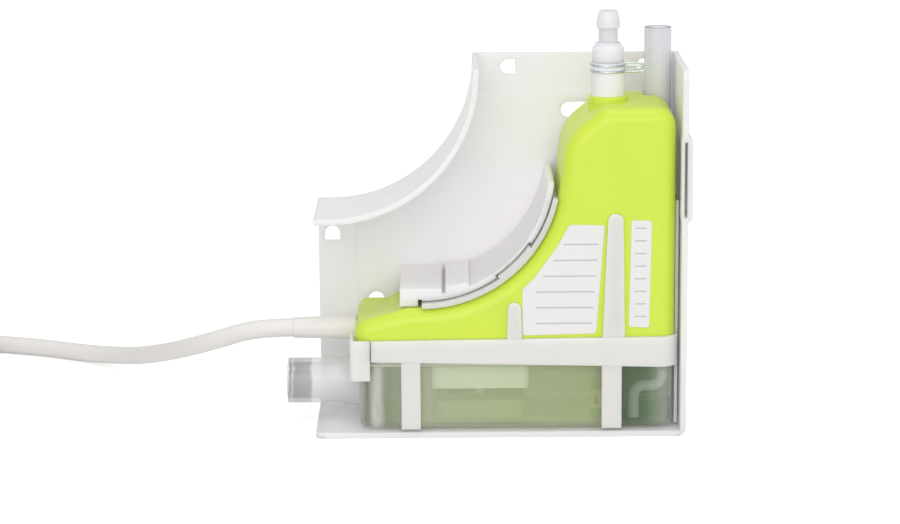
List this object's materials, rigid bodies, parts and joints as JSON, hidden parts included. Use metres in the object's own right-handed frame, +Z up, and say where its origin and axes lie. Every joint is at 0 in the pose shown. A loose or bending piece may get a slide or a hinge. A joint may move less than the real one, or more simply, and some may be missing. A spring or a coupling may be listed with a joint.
{
  "type": "condensate pump",
  "caption": "Piston condensate pump with a lime casing over a clear reservoir, held by a white saddle in an elbow-shaped wall bracket, with a barbed outlet, a vent tube and a supply cord.",
  "frame": {"origin": "centre of the box of everything but the cord, at the height of the bracket's base", "axes": "+Z up, +X towards the bracket's closed side, +Y into the wall; the front faces -Y and the cord leaves towards -X"},
  "size_m": [0.3614, 0.1254, 0.1315],
  "materials": {
    "white_plastic": "satin white moulding",
    "saddle_white": "satin white moulding",
    "lime_plastic": "satin lime moulding",
    "clear_plastic": "clear moulding",
    "guard_clear": "milky clear moulding",
    "vent_clear": "translucent tube",
    "seal_rubber": "matt",
    "white_rubber": "matt white",
    "damper_rubber": "matt",
    "steel": "bright",
    "screw_steel": "zinc plated",
    "copper_wire": "enamelled copper",
    "natural_plastic": "natural nylon",
    "yoke_steel": "blackened",
    "sensor_white": "off-white moulding",
    "float_foam": "closed-cell foam",
    "magnet": "dark",
    "board_green": "solder resist",
    "component_black": "moulded",
    "terminal_green": "moulded",
    "cord_white": "matt white sheath",
    "core_colours": "insulated cores",
    "valve_rubber": "matt"
  },
  "bodies": {
    "bracket": {"wall_bracket": "white_plastic"},
    "pump_unit": {"casing_front": "lime_plastic", "casing_back": "lime_plastic", "casing_screws": "screw_steel", "reservoir": "clear_plastic", "reservoir_seal": "seal_rubber", "saddle": "saddle_white", "waist_guard": "guard_clear", "suction_tube": "natural_plastic", "suction_strainer": "natural_plastic", "lower_damper": "damper_rubber", "inlet_valve_body": "natural_plastic", "pump_cylinder": "steel", "outlet_valve_body": "natural_plastic", "upper_damper": "damper_rubber", "valve_guards": "steel", "inlet_valve_spring": "steel", "outlet_valve_spring": "steel", "lower_spring": "steel", "upper_spring": "steel", "coil_bobbin": "natural_plastic", "coil_winding": "copper_wire", "coil_yoke": "yoke_steel", "discharge_sleeve": "white_rubber", "discharge_spigot": "saddle_white", "sleeve_clip": "steel", "vent_tube": "vent_clear", "overflow_elbow": "vent_clear", "level_sensor": "sensor_white", "circuit_board": "board_green", "capacitor": "component_black", "relay": "component_black", "terminal_block": "terminal_green", "cord_gland": "cord_white", "supply_cord": "cord_white", "supply_cord_coil": "cord_white", "supply_cord_tail": "cord_white", "cord_cores": "core_colours"},
    "latch": {"release_latch": "saddle_white"},
    "float": {"float": "float_foam", "float_magnet": "magnet"},
    "piston": {"piston": "yoke_steel"},
    "inlet_valve": {"inlet_valve": "valve_rubber"},
    "outlet_valve": {"outlet_valve": "valve_rubber"}
  },
  "joints": [
    {"name": "pump_slide", "type": "slide", "parent": "bracket", "child": "pump_unit", "axis": [0, -1, 0], "range_m": [0, 0.05]},
    {"name": "latch_hinge", "type": "hinge", "parent": "pump_unit", "child": "latch", "pos_m": [-0.0365, -0.0227, 0.024], "axis": [0, 0, 1], "range_deg": [0, 12], "stiffness_Nm_per_rad": 0.02},
    {"name": "float_slide", "type": "slide", "parent": "pump_unit", "child": "float", "axis": [0, 0, 1], "range_m": [0, 0.0034]},
    {"name": "piston_slide", "type": "slide", "parent": "pump_unit", "child": "piston", "axis": [0, 0, 1], "range_m": [-0.0015, 0.0015], "stiffness_N_per_m": 250, "deforming": ["lower_spring", "upper_spring"]},
    {"name": "inlet_valve_slide", "type": "slide", "parent": "pump_unit", "child": "inlet_valve", "axis": [0, 0, 1], "range_m": [0, 0.001], "stiffness_N_per_m": 20, "springref_m": -0.001, "deforming": ["inlet_valve_spring"]},
    {"name": "outlet_valve_slide", "type": "slide", "parent": "pump_unit", "child": "outlet_valve", "axis": [0, 0, 1], "range_m": [0, 0.001], "stiffness_N_per_m": 20, "springref_m": -0.001, "deforming": ["outlet_valve_spring"]}
  ]
}
